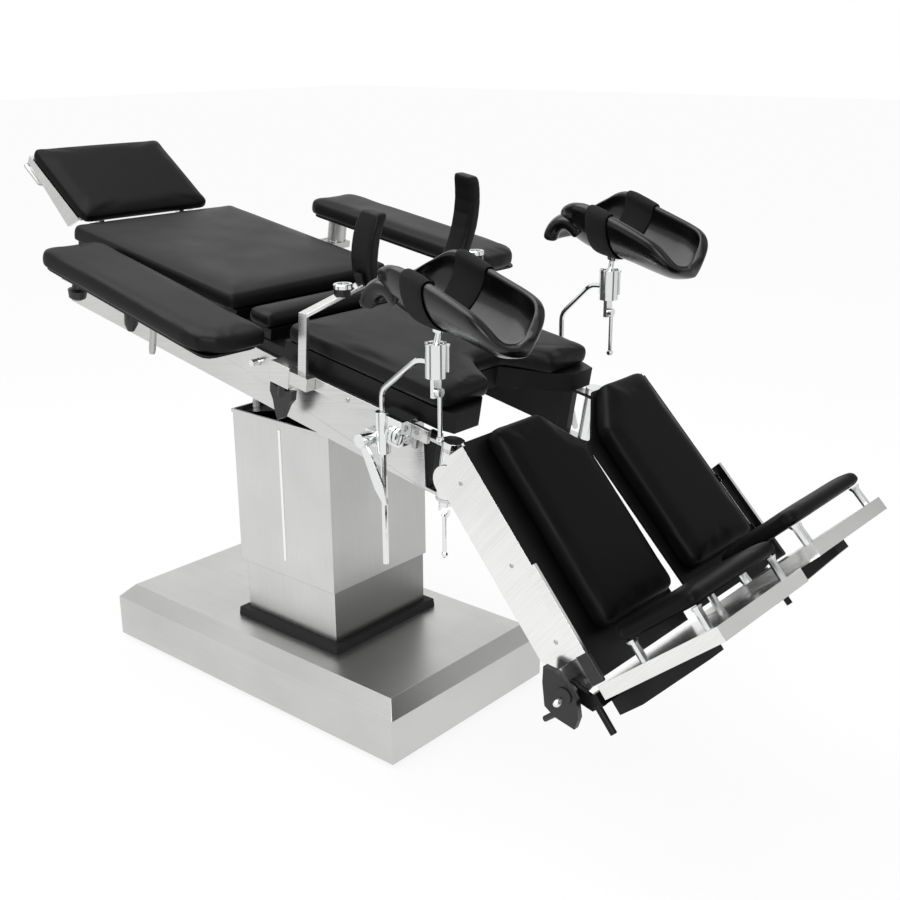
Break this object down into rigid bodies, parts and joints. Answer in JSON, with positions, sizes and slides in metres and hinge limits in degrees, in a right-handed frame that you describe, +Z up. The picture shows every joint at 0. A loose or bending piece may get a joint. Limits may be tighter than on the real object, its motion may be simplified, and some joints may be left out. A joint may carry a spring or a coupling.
{
  "type": "electric operating table",
  "caption": "Electric operating table with arm boards, lateral supports, knee crutches and split legs with foot boards on a steel column and base.",
  "frame": {"origin": "on the floor under the middle of the whole table's bounding box", "axes": "+X to the foot end, +Y across to the table's far side, +Z up"},
  "size_m": [2.1694, 0.9758, 1.2708],
  "materials": {
    "brushed_steel": "satin",
    "bright_steel": "polished",
    "black_iron": "matte",
    "black_metal": "satin",
    "gasket_rubber": "matte",
    "pad_cover": "satin",
    "crutch_gloss": "gloss",
    "knob_black": "satin"
  },
  "bodies": {
    "base": {"base_frame": "black_iron", "base_cover": "brushed_steel", "gasket": "gasket_rubber", "column_lower_cover": "brushed_steel"},
    "column": {"column_upper_cover": "brushed_steel", "lift_ram": "black_iron"},
    "cradle": {"tilt_cradle": "black_iron"},
    "table": {"seat_pan": "black_metal", "seat_pad": "pad_cover", "side_plate_near": "brushed_steel", "side_plate_far": "brushed_steel", "rail_near": "brushed_steel", "rail_far": "brushed_steel", "lateral_clamp_near": "brushed_steel", "lateral_clamp_far": "brushed_steel", "rail_clamp_near": "bright_steel", "rail_clamp_far": "bright_steel"},
    "back": {"back_pan": "black_metal", "back_pad": "pad_cover", "arm_bracket_near": "brushed_steel", "arm_bracket_far": "brushed_steel"},
    "bridge": {"bridge_plate": "black_metal", "bridge_pad": "pad_cover"},
    "crank": {"bridge_crank": "bright_steel"},
    "head": {"head_frame": "brushed_steel", "head_pad": "pad_cover"},
    "arm_near": {"arm_board_near": "black_metal", "arm_pad_near": "pad_cover"},
    "support_near": {"lateral_bar_near": "brushed_steel", "lateral_pad_near": "pad_cover"},
    "support_knob_near": {"lateral_knob_near": "knob_black"},
    "crutch_rod_near": {"crutch_rod_near": "bright_steel", "ball_clamp_near": "bright_steel"},
    "rail_lever_near": {"rail_lever_near": "bright_steel"},
    "ball_lever_near": {"ball_lever_near": "bright_steel"},
    "crutch_near": {"crutch_shell_near": "crutch_gloss"},
    "post_near": {"leg_post_near": "brushed_steel"},
    "leg_lever_near": {"leg_lever_near": "bright_steel"},
    "leg_near": {"leg_frame_near": "brushed_steel", "leg_pad_near": "pad_cover"},
    "foot_near": {"foot_plate_near": "brushed_steel", "foot_pad_near": "pad_cover"},
    "foot_knob_near": {"foot_knob_near": "knob_black"},
    "arm_far": {"arm_board_far": "black_metal", "arm_pad_far": "pad_cover"},
    "support_far": {"lateral_bar_far": "brushed_steel", "lateral_pad_far": "pad_cover"},
    "support_knob_far": {"lateral_knob_far": "knob_black"},
    "crutch_rod_far": {"crutch_rod_far": "bright_steel", "ball_clamp_far": "bright_steel"},
    "rail_lever_far": {"rail_lever_far": "bright_steel"},
    "ball_lever_far": {"ball_lever_far": "bright_steel"},
    "crutch_far": {"crutch_shell_far": "crutch_gloss"},
    "post_far": {"leg_post_far": "brushed_steel"},
    "leg_lever_far": {"leg_lever_far": "bright_steel"},
    "leg_far": {"leg_frame_far": "brushed_steel", "leg_pad_far": "pad_cover"},
    "foot_far": {"foot_plate_far": "brushed_steel", "foot_pad_far": "pad_cover"},
    "foot_knob_far": {"foot_knob_far": "knob_black"}
  },
  "joints": [
    {"name": "column_lift", "type": "slide", "parent": "base", "child": "column", "axis": [0, 0, 1], "range_m": [-0.1, 0.2]},
    {"name": "table_pitch", "type": "hinge", "parent": "column", "child": "cradle", "pos_m": [-0.16923, -0.03957, 0.745], "axis": [0, 1, 0], "range_deg": [-30, 8]},
    {"name": "table_roll", "type": "hinge", "parent": "cradle", "child": "table", "pos_m": [-0.15067, -0.03957, 0.84503], "axis": [0.9859, 0, -0.1671], "range_deg": [-15, 15]},
    {"name": "back_lift", "type": "hinge", "parent": "table", "child": "back", "pos_m": [-0.19232, -0.03957, 0.94642], "axis": [0, 1, 0], "range_deg": [0, 45]},
    {"name": "bridge_raise", "type": "slide", "parent": "table", "child": "bridge", "axis": [0.1671, 0, 0.9859], "range_m": [0, 0.1]},
    {"name": "crank_turn", "type": "hinge", "parent": "table", "child": "crank", "pos_m": [-0.12268, -0.28957, 0.86057], "axis": [0, -1, 0], "range_deg": [0, 3600]},
    {"name": "head_drop", "type": "hinge", "parent": "back", "child": "head", "pos_m": [-0.86338, -0.03957, 1.07734], "axis": [0, 1, 0], "range_deg": [-65, 0]},
    {"name": "arm_swing_near", "type": "hinge", "parent": "back", "child": "arm_near", "pos_m": [-0.63372, -0.39171, 1.01786], "axis": [0.2079, -0.0036, 0.9781], "range_deg": [-90, 0]},
    {"name": "support_height_near", "type": "slide", "parent": "table", "child": "support_near", "axis": [0.079, 0, 0.9969], "range_m": [-0.04, 0.025]},
    {"name": "support_knob_turn_near", "type": "hinge", "parent": "table", "child": "support_knob_near", "pos_m": [-0.00308, -0.32757, 0.83016], "axis": [0.1671, 0, 0.9859], "range_deg": [-180, 180]},
    {"name": "crutch_height_near", "type": "slide", "parent": "table", "child": "crutch_rod_near", "axis": [0, 0, 1], "range_m": [-0.025, 0.12]},
    {"name": "rail_lever_turn_near", "type": "hinge", "parent": "table", "child": "rail_lever_near", "pos_m": [0.26677, -0.36457, 0.778], "axis": [0, 1, 0], "range_deg": [-90, 0]},
    {"name": "crutch_tilt_near", "type": "hinge", "parent": "crutch_rod_near", "child": "crutch_near", "pos_m": [0.43877, -0.33957, 0.985], "axis": [0, 1, 0], "range_deg": [-20, 10]},
    {"name": "ball_lever_turn_near", "type": "hinge", "parent": "crutch_rod_near", "child": "ball_lever_near", "pos_m": [0.44377, -0.33957, 0.903], "axis": [1, 0, 0], "range_deg": [-80, 80]},
    {"name": "leg_spread_near", "type": "hinge", "parent": "table", "child": "post_near", "pos_m": [0.4239, -0.28457, 0.72229], "axis": [0.1671, 0, 0.9859], "range_deg": [-40, 0]},
    {"name": "leg_pitch_near", "type": "hinge", "parent": "post_near", "child": "leg_near", "pos_m": [0.47737, -0.28457, 0.73858], "axis": [0, 1, 0], "range_deg": [-37, 35]},
    {"name": "leg_lever_turn_near", "type": "hinge", "parent": "post_near", "child": "leg_lever_near", "pos_m": [0.41054, -0.28457, 0.6435], "axis": [0.1671, 0, 0.9859], "range_deg": [-90, 90]},
    {"name": "foot_tilt_near", "type": "hinge", "parent": "leg_near", "child": "foot_near", "pos_m": [0.78184, -0.37457, 0.40492], "axis": [0, 1, 0], "range_deg": [0, 50]},
    {"name": "foot_knob_turn_near", "type": "hinge", "parent": "foot_near", "child": "foot_knob_near", "pos_m": [0.78184, -0.37457, 0.40492], "axis": [0, 1, 0], "range_deg": [-180, 180]},
    {"name": "arm_swing_far", "type": "hinge", "parent": "back", "child": "arm_far", "pos_m": [-0.56532, 0.40043, 1.06126], "axis": [0.1599, 0, 0.9871], "range_deg": [0, 90]},
    {"name": "support_height_far", "type": "slide", "parent": "table", "child": "support_far", "axis": [0.079, 0, 0.9969], "range_m": [-0.04, 0.025]},
    {"name": "support_knob_turn_far", "type": "hinge", "parent": "table", "child": "support_knob_far", "pos_m": [-0.00308, 0.24843, 0.83016], "axis": [0.1671, 0, 0.9859], "range_deg": [-180, 180]},
    {"name": "crutch_height_far", "type": "slide", "parent": "table", "child": "crutch_rod_far", "axis": [0, 0, 1], "range_m": [-0.07, 0.12]},
    {"name": "rail_lever_turn_far", "type": "hinge", "parent": "table", "child": "rail_lever_far", "pos_m": [0.26677, 0.28543, 0.778], "axis": [0, 1, 0], "range_deg": [-90, 0]},
    {"name": "crutch_tilt_far", "type": "hinge", "parent": "crutch_rod_far", "child": "crutch_far", "pos_m": [0.42277, 0.26043, 1.036], "axis": [0, 1, 0], "range_deg": [-20, 10]},
    {"name": "ball_lever_turn_far", "type": "hinge", "parent": "crutch_rod_far", "child": "ball_lever_far", "pos_m": [0.42777, 0.26043, 0.954], "axis": [1, 0, 0], "range_deg": [-80, 80]},
    {"name": "leg_spread_far", "type": "hinge", "parent": "table", "child": "post_far", "pos_m": [0.4239, 0.20543, 0.72229], "axis": [0.1671, 0, 0.9859], "range_deg": [0, 40]},
    {"name": "leg_pitch_far", "type": "hinge", "parent": "post_far", "child": "leg_far", "pos_m": [0.47737, 0.20543, 0.73858], "axis": [0, 1, 0], "range_deg": [-35.5, 39]},
    {"name": "leg_lever_turn_far", "type": "hinge", "parent": "post_far", "child": "leg_lever_far", "pos_m": [0.41054, 0.20543, 0.6435], "axis": [0.1671, 0, 0.9859], "range_deg": [-90, 90]},
    {"name": "foot_tilt_far", "type": "hinge", "parent": "leg_far", "child": "foot_far", "pos_m": [0.806, 0.29543, 0.42869], "axis": [0, 1, 0], "range_deg": [0, 50]},
    {"name": "foot_knob_turn_far", "type": "hinge", "parent": "foot_far", "child": "foot_knob_far", "pos_m": [0.806, 0.29543, 0.42869], "axis": [0, 1, 0], "range_deg": [-180, 180]}
  ],
  "couplings": [
    {"joint": "crank_turn", "follows": "bridge_raise", "rad_per_m": 628}
  ]
}
